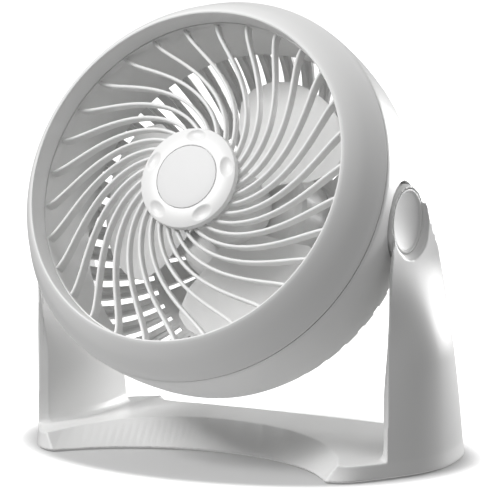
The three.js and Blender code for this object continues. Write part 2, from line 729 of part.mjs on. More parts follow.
function headGroup() {
  const group = new THREE.Group();
  group.position.set(0, PIVOT_Y, PIVOT_HEIGHT);
  group.rotation.x = Math.PI / 2 - REST_TILT;
  group.add(part('front_ring', frontRing(), whitePlastic()));
  group.add(part('front_grille', frontGrille(), whitePlastic()));
  group.add(part('centre_cap', centreCap(), glossWhite()));
  group.add(part('label_disc', labelDisc(), paleGrey()));
  group.add(part('rear_housing', rearHousing(), whitePlastic()));
  HOUSING_SCREW_ANGLES.forEach((angle, i) => {
    group.add(part(`housing_screw_${i + 1}`, housingScrew(angle), zincSteel()));
  });
  for (const [name, side] of [['right', 1], ['left', -1]]) {
    group.add(part(`pivot_screw_${name}`, onSide(pivotScrew(), side), zincSteel()));
    group.add(part(`pivot_washer_${name}`, onSide(pivotWasher(), side), zincSteel()));
    group.add(part(`motor_bolt_${name}`, motorBolt(side), zincSteel()));
  }
  group.add(part('motor_cover', motorCover(), whitePlastic()));
  group.add(part('motor_front_bracket', endBracket(-19, -20.4, -15), aluminium()));
  group.add(part('motor_rear_bracket', endBracket(-43, -45.4, -40), aluminium()));
  group.add(part('bearing_front', bearing(-20, -15.6), bronze()));
  group.add(part('bearing_rear', bearing(-44.6, -40.4), bronze()));
  group.add(part('stator_core', statorCore(), lamination()));
  group.add(part('stator_coil', statorCoil(), copper()));
  group.add(part('rotary_switch', rotarySwitch(), blackPlastic()));
  group.add(part('cord_gland', cordGland(), blackPlastic()));
  group.add(part('fan_blade', fanBlade(), whitePlastic()));
  group.add(part('blade_nut', bladeNut(), whitePlastic()));
  group.add(part('motor_shaft', motorShaft(), steel()));
  group.add(part('rotor', rotor(), lamination()));
  group.add(part('speed_knob', speedKnob(), whitePlastic()));
  group.add(part('switch_spindle', switchSpindle(), paleGrey()));
  return group;
}

const fan = new THREE.Group();
fan.add(standGroup(), headGroup());

export default fan;
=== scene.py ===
"""Looks of a small round table fan whose head tilts between the two arms of its stand."""
import json
import math

import bmesh
import bpy
from mathutils import Matrix, Vector
from mathutils.bvhtree import BVHTree


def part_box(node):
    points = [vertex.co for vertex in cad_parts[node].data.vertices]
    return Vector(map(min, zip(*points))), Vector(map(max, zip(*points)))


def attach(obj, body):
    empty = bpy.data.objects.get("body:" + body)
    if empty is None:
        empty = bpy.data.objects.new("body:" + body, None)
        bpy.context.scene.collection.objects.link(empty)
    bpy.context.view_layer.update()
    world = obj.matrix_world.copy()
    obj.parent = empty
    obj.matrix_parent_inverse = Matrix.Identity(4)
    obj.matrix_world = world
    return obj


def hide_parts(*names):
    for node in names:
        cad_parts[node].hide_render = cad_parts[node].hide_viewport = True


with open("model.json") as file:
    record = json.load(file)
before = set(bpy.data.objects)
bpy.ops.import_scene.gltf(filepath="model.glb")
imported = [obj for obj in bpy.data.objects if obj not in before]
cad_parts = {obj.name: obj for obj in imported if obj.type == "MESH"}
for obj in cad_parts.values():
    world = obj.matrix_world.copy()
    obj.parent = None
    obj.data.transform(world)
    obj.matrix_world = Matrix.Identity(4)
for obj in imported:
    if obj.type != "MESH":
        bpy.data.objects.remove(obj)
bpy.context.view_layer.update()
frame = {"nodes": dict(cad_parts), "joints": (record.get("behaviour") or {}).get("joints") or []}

# ---------------------------------------------------------------------------------------------
# Frame: lengths below are millimetres, and MM turns them into the scene's metres
# ---------------------------------------------------------------------------------------------
MM = 0.001
JOINTS = {joint["name"]: joint for joint in frame["joints"]}
PIVOT = Vector(JOINTS["head_tilt"]["pos_m"]) / MM
FORWARD = Vector(JOINTS["blade_spin"]["axis"]).normalized()
SIDEWAYS = Vector((1, 0, 0))
UPWARD = FORWARD.cross(SIDEWAYS)

# The head is drawn with its axis along Z and its pivot at the origin, the stand under y = 0.
HEAD = Matrix.Translation(PIVOT) @ Matrix((SIDEWAYS, UPWARD, FORWARD)).transposed().to_4x4()
STAND = Matrix.Translation((0, PIVOT.y, 0))

# Stand: a level is 0 on the floor and 1 on the feet's top
FOOT_LIFT = 1.0
FOOT_HEIGHT = 10.8
BASE_MIDDLE_Y = 20.2
WAIST_FLOOR, WAIST_TOP = 28.9, 19.6
CORNER_FLOOR = (93.6, 74.6)
CORNER_TOP = (99.6, 70.6)
CROWN_RISE, CROWN_REACH = 9.4, 104
BACK_SHARE = 0.97  # the base's back half is this much shallower than its front half
END_FLOOR = {"start": 93.6, "reach": 44.4, "depth": 74.6, "hollow": 0.13}
END_TOP = {"start": 93.0, "reach": 44.2, "depth": 72.0, "hollow": 0.11}
ARM_FRONT_Y = -26.9
ARM_BACK_Y = 68
ARM_EDGE_X = 122.0
ARM_TOP_REACH = 9  # the arms run this far above the pivot, inside the boss's outline
ARM_SHOULDER_FOOT, ARM_SHOULDER_TOP = 3.2, 1.5  # how far the back edge stands out past the front edge
SWELL_LOW, SWELL_HIGH = 66, 142  # heights between which the foot's swell dies out
ARM_INNER_X, ARM_INNER_TOP_X = 107.3, 121.2
ARM_TOP = PIVOT.z
BOSS_RADIUS = 22
BOSS_INNER_X, BOSS_OUTER_X = 110.2, 121.9
CAP_RADIUS = 19.3
CAP_SEAT_X, CAP_RIM_X = 117.2, 121.2
WALL = 2.4
PAD_RADIUS = 6
STAND_VOXEL, STAND_PASSES = 0.8, 5

# Head
LIP_FRONT = 62.6
BAND_RADIUS = 102
DUCT_RADIUS, DUCT_BACK = 103.7, -12
HOOP_FRONT, HOOP_BACK = 47.7, 42.5
SEAM = 34
PIVOT_FLAT_X = 108.5
POCKET_RADIUS = 24
RIB_COUNT = 30
RIB_TWIST = math.radians(-58)
RIB_THICKNESS = 2.2
HUB_RADIUS = 30
CENTRE_CAP_RADIUS = 31.6
LABEL_RADIUS = 19.6
DIMPLE_COUNT = 5
SLOT_COUNT = 48
BACK_WALL = -60
FIN_ROOT_DEPTH, FIN_DEPTH = 1.6, 6.5
FIN_ROOT_HALF, FIN_HALF = 1.7, 1.2
BLADE_COUNT = 3
BLADE_TIP_RADIUS = 87
BLADE_HUB_RADIUS = 24
COVER_RADIUS = 44
KNOB_RADIUS = 17
GLAND_OFFSET = 30
GAP = 0.3


# ---------------------------------------------------------------------------------------------
# Materials
# ---------------------------------------------------------------------------------------------
def noise(tree, scale, detail=3.0):
    texture = tree.nodes.new("ShaderNodeTexNoise")
    texture.inputs["Scale"].default_value = scale
    texture.inputs["Detail"].default_value = detail
    coordinates = tree.nodes.new("ShaderNodeTexCoord")
    tree.links.new(coordinates.outputs["Object"], texture.inputs["Vector"])
    return texture.outputs["Fac"]


def ramp(tree, source, low, high):
    node = tree.nodes.new("ShaderNodeMapRange")
    node.inputs["From Min"].default_value = 0.3
    node.inputs["From Max"].default_value = 0.7
    node.inputs["To Min"].default_value = low
    node.inputs["To Max"].default_value = high
    tree.links.new(source, node.inputs["Value"])
    return node.outputs["Result"]


def finish(name, light, dark, roughness, metallic=0.0, grain=900.0, depth=0.02, sheen=0.0):
    """Material whose colour drifts between two tones, over a fine grain that also varies its gloss."""
    material = bpy.data.materials.new(name)
    material.use_nodes = True
    tree = material.node_tree
    shader = tree.nodes["Principled BSDF"]
    blend = tree.nodes.new("ShaderNodeMix")
    blend.data_type = "RGBA"
    blend.inputs["A"].default_value = (*dark, 1)
    blend.inputs["B"].default_value = (*light, 1)
    tree.links.new(ramp(tree, noise(tree, 14), 0, 1), blend.inputs["Factor"])
    tree.links.new(blend.outputs["Result"], shader.inputs["Base Color"])
    fine = noise(tree, grain, 2)
    tree.links.new(ramp(tree, fine, roughness - 0.04, roughness + 0.04), shader.inputs["Roughness"])
    bump = tree.nodes.new("ShaderNodeBump")
    bump.inputs["Strength"].default_value = depth
    bump.inputs["Distance"].default_value = 0.0004
    tree.links.new(fine, bump.inputs["Height"])
    tree.links.new(bump.outputs["Normal"], shader.inputs["Normal"])
    shader.inputs["Metallic"].default_value = metallic
    shader.inputs["Coat Weight"].default_value = sheen
    shader.inputs["Coat Roughness"].default_value = 0.25
    return material


FINISHES = {
    "white_plastic": finish("white_plastic", (0.86, 0.86, 0.855), (0.835, 0.835, 0.83), 0.42, depth=0.06),
    "cap_white": finish("cap_white", (0.88, 0.88, 0.875), (0.86, 0.86, 0.855), 0.38, depth=0.03),
    "label_grey": finish("label_grey", (0.8, 0.8, 0.8), (0.77, 0.77, 0.77), 0.5, depth=0.05),
    "pad_rubber": finish("pad_rubber", (0.05, 0.05, 0.052), (0.035, 0.035, 0.036), 0.85, depth=0.2),
    "black_plastic": finish("black_plastic", (0.022, 0.022, 0.024), (0.015, 0.015, 0.016), 0.5, depth=0.1),
    "zinc_steel": finish("zinc_steel", (0.62, 0.63, 0.64), (0.54, 0.55, 0.56), 0.36, 1.0),
    "shaft_steel": finish("shaft_steel", (0.5, 0.51, 0.53), (0.44, 0.45, 0.47), 0.3, 1.0),
    "lamination_steel": finish(
        "lamination_steel", (0.2, 0.2, 0.21), (0.15, 0.15, 0.16), 0.5, 1.0, depth=0.2,
    ),
    "copper_winding": finish(
        "copper_winding", (0.5, 0.18, 0.07), (0.42, 0.14, 0.05), 0.4, 1.0, depth=0.3,
    ),
    "bearing_bronze": finish("bearing_bronze", (0.4, 0.25, 0.1), (0.34, 0.21, 0.08), 0.45, 1.0),
    "bracket_aluminium": finish("bracket_aluminium", (0.6, 0.61, 0.62), (0.54, 0.55, 0.56), 0.42, 1.0),
}


# ---------------------------------------------------------------------------------------------
# Mesh building
# ---------------------------------------------------------------------------------------------
def mix(low, high, share):
    return low + (high - low) * share


def steps(count, low, high):
    return [low + (high - low) * i / count for i in range(count + 1)]


def smooth_step(value, low, high):
    share = min(1, max(0, (value - low) / (high - low)))
    return share * share * (3 - 2 * share)


def solid(name, points, faces, place):
    """Closed mesh object from points in millimetres, moved by place into the scene."""
    mesh = bpy.data.meshes.new(name)
    mesh.from_pydata([tuple(point) for point in points], [], faces)
    mesh.transform(Matrix.Scale(MM, 4) @ place)
    work = bmesh.new()
    work.from_mesh(mesh)
    bmesh.ops.remove_doubles(work, verts=work.verts, dist=1e-6)
    bmesh.ops.recalc_face_normals(work, faces=work.faces)
    work.to_mesh(mesh)
    work.free()
    piece = bpy.data.objects.new(name, mesh)
    bpy.context.collection.objects.link(piece)
    return piece


def turned(name, profile, place, segments=192):
    """Closed profile of (radius, place along the axis) points, turned about Z."""
    points = []
    for radius, along in profile:
        for j in range(segments):
            turn = math.tau * j / segments
            points.append((radius * math.cos(turn), radius * math.sin(turn), along))
    faces = []
    for i in range(len(profile)):
        here, following = i * segments, ((i + 1) % len(profile)) * segments
        for j in range(segments):
            k = (j + 1) % segments
            faces.append((here + j, here + k, following + k, following + j))
    return solid(name, points, faces, place)


def loft(name, rings, place):
    """Skin through rings of equal length. Point i of a ring faces point n - 1 - i across the caps."""
    count = len(rings[0])
    points = [point for ring in rings for point in ring]
    faces = []
    for ring in range(len(rings) - 1):
        for i in range(count):
            a, b = ring * count + i, ring * count + (i + 1) % count
            faces.append((a, b, b + count, a + count))
    last = (len(rings) - 1) * count
    for base in (0, last):
        for i in range(count // 2 - 1):
            faces.append((base + i, base + i + 1, base + count - 2 - i, base + count - 1 - i))
    return solid(name, points, faces, place)


def fillet(profile, radii, count=6):
    """Profile with each corner rounded by its radius; 0 keeps the corner."""
    out = []
    total = len(profile)
    for i, radius in enumerate(radii):
        corner = Vector(profile[i])
        if radius == 0:
            out.append(tuple(corner))
            continue
        before = (Vector(profile[i - 1]) - corner).normalized()
        after = (Vector(profile[(i + 1) % total]) - corner).normalized()
        half = before.angle(after) / 2
        reach = radius / math.tan(half)
        centre = corner + (before + after).normalized() * radius / math.sin(half)
        start, end = corner + before * reach - centre, corner + after * reach - centre
        for share in steps(count, 0, 1):
            out.append(tuple(centre + start.slerp(end, share) * radius))
    return out


def evaluated(piece):
    """Applies the piece's modifiers to its mesh."""
    graph = bpy.context.evaluated_depsgraph_get()
    mesh = bpy.data.meshes.new_from_object(piece.evaluated_get(graph))
    old = piece.data
    piece.modifiers.clear()
    piece.data = mesh
    bpy.data.meshes.remove(old)
    return piece


def combined(piece, tool, operation):
    change = piece.modifiers.new(operation, "BOOLEAN")
    change.operation = operation
    change.solver = "MANIFOLD"
    change.object = tool
    evaluated(piece)
    bpy.data.objects.remove(tool)
    return piece


def joined(piece, *tools):
    for tool in tools:
        combined(piece, tool, "UNION")
    return piece


def cut(piece, *tools):
    for tool in tools:
        combined(piece, tool, "DIFFERENCE")
    return piece


def shaded(piece, angle=35):
    piece.data.shade_smooth()
    piece.data.set_sharp_from_angle(angle=math.radians(angle))
    return piece


def softened(piece, width, segments=3, angle=30):
    """Rounds the piece's sharp edges."""
    bevel = piece.modifiers.new("soft edges", "BEVEL")
    bevel.width = width * MM
    bevel.segments = segments
    bevel.limit_method = "ANGLE"
    bevel.angle_limit = math.radians(angle)
    bevel.harden_normals = False
    return evaluated(piece)


def moulded(piece, voxel, passes):
    """Rounds every edge as a mould does: the piece is remeshed finely and relaxed, and what stayed
    close to its first surface is laid back on it."""
    source = BVHTree.FromObject(piece, bpy.context.evaluated_depsgraph_get())
    remesh = piece.modifiers.new("fine skin", "REMESH")
    remesh.mode = "VOXEL"
    remesh.voxel_size = voxel * MM
    relax = piece.modifiers.new("relax", "SMOOTH")
    relax.factor = 0.5
    relax.iterations = passes
    evaluated(piece)
    near = 0.3 * voxel * MM
    for vertex in piece.data.vertices:
        place, normal, face, distance = source.find_nearest(vertex.co)
        if distance < near:
            vertex.co = place
    final = piece.modifiers.new("even", "SMOOTH")
    final.factor = 0.4
    final.iterations = 2
    return evaluated(piece)


def installed(piece, slot, body, *nodes):
    """Gives the piece its finish, the body it moves with and the CAD nodes it stands for."""
    piece.data.materials.clear()
    piece.data.materials.append(FINISHES[slot])
    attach(piece, body)
    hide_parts(*nodes)
    return piece


def about_x(side):
    """Turns a solid drawn about Z into one about the tilt axis, on one side of the fan."""
    return Matrix.Rotation(side * math.pi / 2, 4, "Y")


# ---------------------------------------------------------------------------------------------
# Stand
# ---------------------------------------------------------------------------------------------
def waist_floor(x):
    rise = CORNER_FLOOR[1] - WAIST_FLOOR
    radius = (CORNER_FLOOR[0] ** 2 + rise ** 2) / (2 * rise)
    return WAIST_FLOOR + radius - math.sqrt(radius ** 2 - x ** 2)


def waist_top(x):
    share = (abs(x) / 101) ** 2.15
    return WAIST_TOP + 63 * (1 - (1 - share) ** (1 / 2.15))


def crown(x):
    return FOOT_HEIGHT + CROWN_RISE * max(0, 1 - (abs(x) / CROWN_REACH) ** 2.2)


def foot_end(shape, share, front):
    """How far out a foot reaches at a share of its half depth; its front half is a little hollow."""
    hollow = shape["hollow"] * math.sin(math.pi * share * share) if front else 0
    return shape["start"] + shape["reach"] * (math.sqrt(max(0, 1 - share * share)) - hollow)


def base_side(level, front, inset=0):
    """Half of the base's outline, from its left tip to its right tip, on one level."""
    corner = CORNER_TOP if level else CORNER_FLOOR
    shape = END_TOP if level else END_FLOOR
    waist = waist_top if level else waist_floor
    scale = -1 if front else BACK_SHARE
    sweep = math.asin(min(1, corner[1] / shape["depth"]))
    right = [(corner[0] * share, waist(corner[0] * share)) for share in steps(24, 0, 1)[:-1]]
    for angle in steps(24, sweep, 0):
        share = math.sin(angle)
        right.append((foot_end(shape, share, front), shape["depth"] * share))
    left = [(-x, depth) for x, depth in right[:0:-1]]
    outline = []
    for x, depth in left + right:
        height = crown(x) - inset if level else FOOT_LIFT
        outline.append(Vector((x, BASE_MIDDLE_Y + scale * depth, height)))
    return outline


def inset_ring(ring, inset):
    """Ring moved inwards in plan by an inset."""
    out = []
    for i, point in enumerate(ring):
        before, after = ring[i - 1], ring[(i + 1) % len(ring)]
        run = (after - before).to_2d()
        if run.length < 1e-6:
            run = Vector((1, 0))
        run.normalize()
        out.append(Vector((point.x - run.y * inset, point.y + run.x * inset, point.z)))
    return out


def base(inset=0, drop=0):
    rings = []
    for level in (0, 1):
        ring = base_side(level, True, inset) + base_side(level, False, inset)[::-1]
        ring = inset_ring(ring, inset) if inset else ring
        rings.append(ring)
    if drop:
        rings.insert(0, [point - Vector((0, 0, drop)) for point in rings[0]])
    return loft("stand", rings, STAND)


def arm_back(z):
    """Back edge, which leans forward more and more with height."""
    rise = max(0, z - FOOT_HEIGHT)
    return ARM_BACK_Y - 0.2 * rise - 0.00077 * rise ** 2


def arm_front(z):
    """Front edge, upright until it draws in round the pivot boss."""
    lean = 1.6 * max(0, z - FOOT_HEIGHT) / (ARM_TOP - FOOT_HEIGHT)
    return ARM_FRONT_Y + lean + 6.3 * smooth_step(z, 120, 152)


def arm_nose(z):
    """How far the inner face starts behind the front edge and ends before the back edge."""
    return mix(4.5, 1.2, smooth_step(z, 52, 98))


def arm_outer(along, z):
    """Outer face of an arm at a share of the way from its front edge to its back edge."""
    y_foot = mix(ARM_FRONT_Y, ARM_BACK_Y, along)
    depth = y_foot - BASE_MIDDLE_Y
    depth = -depth if depth < 0 else depth / BACK_SHARE
    in_front = y_foot < BASE_MIDDLE_Y
    top = foot_end(END_TOP, depth / END_TOP["depth"], in_front)
    if z < FOOT_HEIGHT:
        floor = foot_end(END_FLOOR, depth / END_FLOOR["depth"], in_front)
        return mix(floor, top, (z - FOOT_LIFT) / (FOOT_HEIGHT - FOOT_LIFT))
    height = (z - FOOT_HEIGHT) / (ARM_TOP - FOOT_HEIGHT)
    full = (top - ARM_EDGE_X) * max(0, 1 - 1.1 * height ** 6.3)
    shoulder = mix(ARM_SHOULDER_FOOT, ARM_SHOULDER_TOP, smooth_step(z, 130, 158)) * along ** 1.6
    edge = ARM_EDGE_X + 0.9 * smooth_step(z, 85, 120) * (1 - smooth_step(z, 128, 148))
    return edge + mix(full, shoulder, smooth_step(z, SWELL_LOW, SWELL_HIGH))


def arm_inner(y, z):
    """Inner face: bowed at the feet, with a cove where it meets them, and flat by the pivot."""
    if y < 30:
        bow = 9.5 * ((30 - y) / 52) ** 2
    else:
        bow = 4.2 * ((y - 30) / 33) ** 2
    cove = 3 * max(0, 1 - (z - FOOT_HEIGHT) / 5) ** 2 if z > FOOT_HEIGHT else 3
    return mix(ARM_INNER_X + bow - cove, ARM_INNER_TOP_X, smooth_step(z, 46, 102))


def arm_ring(z, side, inset=0):
    """Section of an arm: its outer face from front to back, and its inner face back again."""
    outer, inner = [], []
    low, high = arm_front(z) + inset, arm_back(z) - inset
    nose = arm_nose(z)
    for along in steps(36, 0, 1):
        y = mix(low, high, along)
        outer.append(Vector((side * (arm_outer(along, z) - inset), y, z)))
        y = mix(low + nose, high - nose, along)
        inner.append(Vector((side * (arm_inner(y, z) + inset), y, z)))
    return outer + inner[::-1]


def arm(side):
    heights = steps(52, FOOT_LIFT, ARM_TOP + ARM_TOP_REACH)
    return loft("arm", [arm_ring(z, side) for z in heights], STAND)


def arm_hollow(side):
    heights = [FOOT_LIFT - 2] + steps(12, FOOT_LIFT, 104)
    return loft("arm hollow", [arm_ring(max(z, FOOT_LIFT - 2), side, WALL) for z in heights], STAND)


def pivot_place(side):
    return STAND @ Matrix.Translation((0, 0, PIVOT.z)) @ about_x(side)


def pivot_boss(side):
    outline = [
        (0, BOSS_INNER_X), (BOSS_RADIUS, BOSS_INNER_X),
        (BOSS_RADIUS, BOSS_OUTER_X), (0, BOSS_OUTER_X),
    ]
    return turned("boss", fillet(outline, [0, 0.6, 3.2, 0]), pivot_place(side), 96)


def pivot_recess(side):
    outline = [
        (0, CAP_SEAT_X), (CAP_RADIUS + GAP, CAP_SEAT_X), (CAP_RADIUS + GAP, CAP_RIM_X + 0.2),
        (CAP_RADIUS + 3.4, CAP_RIM_X + 2.4), (CAP_RADIUS + 4.2, CAP_RIM_X + 10),
        (CAP_RADIUS + 4.2, CAP_RIM_X + 20),
        (0, CAP_RIM_X + 20),
    ]
    return turned("recess", outline, pivot_place(side), 96)


def pivot_bore(side):
    outline = [(0, 100), (5.3, 100), (5.3, 114.1), (13, 114.1), (13, CAP_SEAT_X + 1), (0, CAP_SEAT_X + 1)]
    return turned("bore", outline, pivot_place(side), 64)


PAD_NAMES = ("front_left", "front_right", "back_left", "back_right")


def pad_matrix(name):
    low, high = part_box(f"foot_pad_{name}")
    middle = (low + high) / 2 / MM
    return Matrix.Translation((middle.x, middle.y, 0))


def stand():
    piece = base()
    for side in (1, -1):
        joined(piece, arm(side), pivot_boss(side))
    for side in (1, -1):
        cut(piece, pivot_recess(side))
    moulded(piece, STAND_VOXEL, STAND_PASSES)
    cut(piece, base(WALL, 4))
    for side in (1, -1):
        cut(piece, arm_hollow(side), pivot_bore(side))
    post = [(0, FOOT_LIFT), (PAD_RADIUS + 2, FOOT_LIFT), (PAD_RADIUS + 2, 9.6), (0, 9.6)]
    seat = [(0, 0), (PAD_RADIUS + GAP, 0), (PAD_RADIUS + GAP, FOOT_LIFT + 1.4), (0, FOOT_LIFT + 1.4)]
    for name in PAD_NAMES:
        joined(piece, turned("post", post, pad_matrix(name), 48))
        cut(piece, turned("seat", seat, pad_matrix(name), 48))
    installed(shaded(piece, 50), "white_plastic", "stand", "stand")


def foot_pads():
    outline = [(0, 0), (PAD_RADIUS, 0), (PAD_RADIUS, FOOT_LIFT + 1.1), (0, FOOT_LIFT + 1.1)]
    for name in PAD_NAMES:
        node = f"foot_pad_{name}"
        piece = turned(node, fillet(outline, [0, 0.5, 0.2, 0], 4), pad_matrix(name), 64)
        piece.name = f"rubber_{name}"
        installed(shaded(piece), "pad_rubber", "stand", node)


def pivot_caps():
    rim = CAP_RIM_X
    outline = [
        (0, CAP_SEAT_X + GAP), (CAP_RADIUS, CAP_SEAT_X + GAP), (CAP_RADIUS, rim), (CAP_RADIUS - 1.2, rim),
        (CAP_RADIUS - 2.2, rim - 0.9),
    ]
    dish = [(radius, rim - 2.3 + 1.4 * (radius / (CAP_RADIUS - 2.2)) ** 2) for radius in (13, 9, 5, 2, 0)]
    profile = fillet(outline + dish, [0, 0.3, 0.4, 0.3, 0.4, 0, 0, 0, 0, 0], 4)
    for side, name in ((1, "right"), (-1, "left")):
        piece = turned(f"dished_cap_{name}", profile, pivot_place(side), 128)
        installed(shaded(piece, 50), "white_plastic", "stand", f"pivot_cap_{name}")


# ---------------------------------------------------------------------------------------------
# Head shells
# ---------------------------------------------------------------------------------------------
def front_ring():
    outside = [
        (119.5, SEAM + GAP), (120.15, 35.1), (119.9, 36.2), (119.3, 37), (117.8, 40.4), (115.95, 44),
        (114.2, 48), (112.35, 51.5), (110.1, 55.1), (107.2, 59), (105.3, 61.3), (104.4, 62.1),
        (103.6, LIP_FRONT - 0.15), (102.9, 62.2), (102.5, 61.4),
    ]
    inside = [
        (BAND_RADIUS, HOOP_FRONT + GAP), (DUCT_RADIUS, HOOP_FRONT + GAP), (DUCT_RADIUS, DUCT_BACK + 0.5),
        (DUCT_RADIUS + 0.5, DUCT_BACK), (DUCT_RADIUS + 1.8, DUCT_BACK), (DUCT_RADIUS + 1.8, 50.6),
        (106.3, 54.6), (112.8, 45), (117.6, SEAM + GAP),
    ]
    piece = turned("round_front_ring", outside + inside, HEAD, 240)
    installed(shaded(piece, 28), "white_plastic", "head", "front_ring")


HOUSING_ROWS = [
    (120.0, SEAM), (120.35, 33.2), (120.45, 30), (120.4, 24), (120.2, 18), (119.7, 10), (118.9, 2),
    (117.9, -6), (116.8, -12), (115.9, -16), (113.6, -21), (110.3, -27), (106.3, -32.5), (101.2, -38),
    (95.3, -43), (88.6, -47), (81.5, -50.2), (79.5, -51), (76.3, -52.1), (73, -53.1), (66.5, -54.9),
    (60, -56.3), (53, -57.4), (50, -57.8), (48.4, -58.6), (47, BACK_WALL),
]
LONG_SLOTS = (9, 17)
SHORT_SLOTS = (19, 22)
COLUMNS = 8


def slot_angles():
    """Angles of the grid's columns: each pitch has a bar, then a slot."""
    pitch = math.tau / SLOT_COUNT
    bar = [0, 0.16, 0.36, 0.54]
    slot = [0.58, 0.68, 0.8, 0.96]
    middle = pitch * 0.77
    shares = bar[1:] + slot + [1]
    return [pitch * (i + share) + pitch / 2 - middle for i in range(SLOT_COUNT) for share in shares]


def open_cell(row, column):
    within = column % COLUMNS
    in_slot = 3 <= within <= 5
    pitch = column // COLUMNS
    long_slot = LONG_SLOTS[0] <= row < LONG_SLOTS[1]
    short_slot = SHORT_SLOTS[0] <= row < SHORT_SLOTS[1] and pitch % 2 == 0
    return in_slot and (long_slot or short_slot)


def housing_skin():
    angles = slot_angles()
    total = len(angles)
    points, faces = [], []
    for radius, along in HOUSING_ROWS:
        points += [(radius * math.cos(turn), radius * math.sin(turn), along) for turn in angles]
    for row in range(len(HOUSING_ROWS) - 1):
        for column in range(total):
            if open_cell(row, column):
                continue
            here, following = row * total, (row + 1) * total
            k = (column + 1) % total
            faces.append((here + column, here + k, following + k, following + column))
    rim = (len(HOUSING_ROWS) - 1) * total
    points.append((0, 0, BACK_WALL))
    centre = len(points) - 1
    inner = len(points)
    points += [(24 * math.cos(turn), 24 * math.sin(turn), BACK_WALL) for turn in angles]
    for column in range(total):
        k = (column + 1) % total
        faces.append((rim + column, rim + k, inner + k, inner + column))
        faces.append((inner + column, inner + k, centre))
    return points, faces


def bar_fins():
    """Thin walls that carry each bar of the housing inwards, between the long slots."""
    pitch = math.tau / SLOT_COUNT
    fins = []
    rows = HOUSING_ROWS[LONG_SLOTS[0] - 1:LONG_SLOTS[1] + 1]
    for i in range(SLOT_COUNT):
        points, faces = [], []
        for radius, along in rows:
            for depth, half in ((FIN_ROOT_DEPTH, FIN_ROOT_HALF), (FIN_DEPTH, FIN_HALF)):
                for offset in (-half, half):
                    turn = pitch * i + offset / radius
                    reach = radius - depth
                    points.append((reach * math.cos(turn), reach * math.sin(turn), along))
        for row in range(len(rows) - 1):
            a, b = row * 4, row * 4 + 4
            for low, high in ((0, 1), (1, 3), (3, 2), (2, 0)):
                faces.append((a + low, a + high, b + high, b + low))
        last = len(points) - 4
        faces += [(0, 1, 3, 2), (last, last + 1, last + 3, last + 2)]
        fins.append(solid("fin", points, faces, HEAD))
    return fins


def rear_housing():
    points, faces = housing_skin()
    piece = solid("slotted_rear_housing", points, faces, HEAD)
    work = bmesh.new()
    work.from_mesh(piece.data)
    bmesh.ops.recalc_face_normals(work, faces=work.faces)
    middle = (HEAD @ Vector((0, 0, 0))) * MM
    if sum((face.calc_center_median() - middle).dot(face.normal) for face in work.faces) < 0:
        bmesh.ops.reverse_faces(work, faces=work.faces)
    work.to_mesh(piece.data)
    work.free()
    shell = piece.modifiers.new("wall", "SOLIDIFY")
    shell.thickness = WALL * MM
    shell.offset = -1
    shell.use_even_offset = True
    evaluated(piece)
    whole_profile = HOUSING_ROWS + [(0, BACK_WALL), (0, SEAM)]
    for side in (1, -1):
        place = HEAD @ about_x(side)
        cup = turned("cup", [(0, PIVOT_FLAT_X - 2), (POCKET_RADIUS + 2, PIVOT_FLAT_X - 2),
                             (POCKET_RADIUS + 2, 125), (0, 125)], place, 96)
        combined(cup, turned("whole", whole_profile, HEAD, 192), "INTERSECT")
        joined(piece, cup)
        pocket = [(0, PIVOT_FLAT_X), (POCKET_RADIUS, PIVOT_FLAT_X), (POCKET_RADIUS, 130), (0, 130)]
        stub = [(0, PIVOT_FLAT_X - 1), (5, PIVOT_FLAT_X - 1), (5, 113.9), (0, 113.9)]
        hole = [(0, 90), (2.3, 90), (2.3, 130), (0, 130)]
        cut(piece, turned("pocket", pocket, place, 96))
        joined(piece, turned("stub", stub, place, 48))
        cut(piece, turned("hole", hole, place, 32))
    cut(piece, turned("spindle hole", [(0, -64), (4.3, -64), (4.3, -56), (0, -56)], HEAD, 48))
    gland = HEAD @ Matrix.Translation((0, -GLAND_OFFSET, 0))
    cut(piece, turned("gland hole", [(0, -64), (4.8, -64), (4.8, -50), (0, -50)], gland, 48))
    softened(piece, 0.35, 2, 40)
    merge(piece, bar_fins())
    installed(shaded(piece, 35), "white_plastic", "head", "rear_housing")


# ---------------------------------------------------------------------------------------------
# Grille and centre
# ---------------------------------------------------------------------------------------------
def rib_front(radius):
    return HOOP_FRONT - 1 + 5.5 * (1 - (radius / BAND_RADIUS) ** 2)


def rib_point(radius, angle):
    share = max(0, (BAND_RADIUS - radius) / (BAND_RADIUS - 33))
    turn = angle + RIB_TWIST * share ** 1.55
    return Vector((radius * math.cos(turn), radius * math.sin(turn), 0))


def rib_rings(angle, start, end):
    """Cross-sections of a rib: a strip on edge whose front is round."""
    rings = []
    for radius in steps(36, start, end):
        here = rib_point(radius, angle)
        run = (rib_point(radius + 0.5, angle) - rib_point(radius - 0.5, angle)).normalized()
        side = Vector((-run.y, run.x, 0))
        front = rib_front(radius)
        back = front - mix(4.5, 7.5, (radius - start) / (end - start))
        half = RIB_THICKNESS / 2
        ring = [here + side * half * 0.7 + Vector((0, 0, back))]
        for turn in steps(8, 0, math.pi):
            across = half * math.cos(turn)
            rise = half * math.sin(turn)
            ring.append(here + side * across + Vector((0, 0, front - half + rise)))
        ring.append(here - side * half * 0.7 + Vector((0, 0, back)))
        ring.append(here + Vector((0, 0, back - 0.25)))
        rings.append(ring)
    return rings


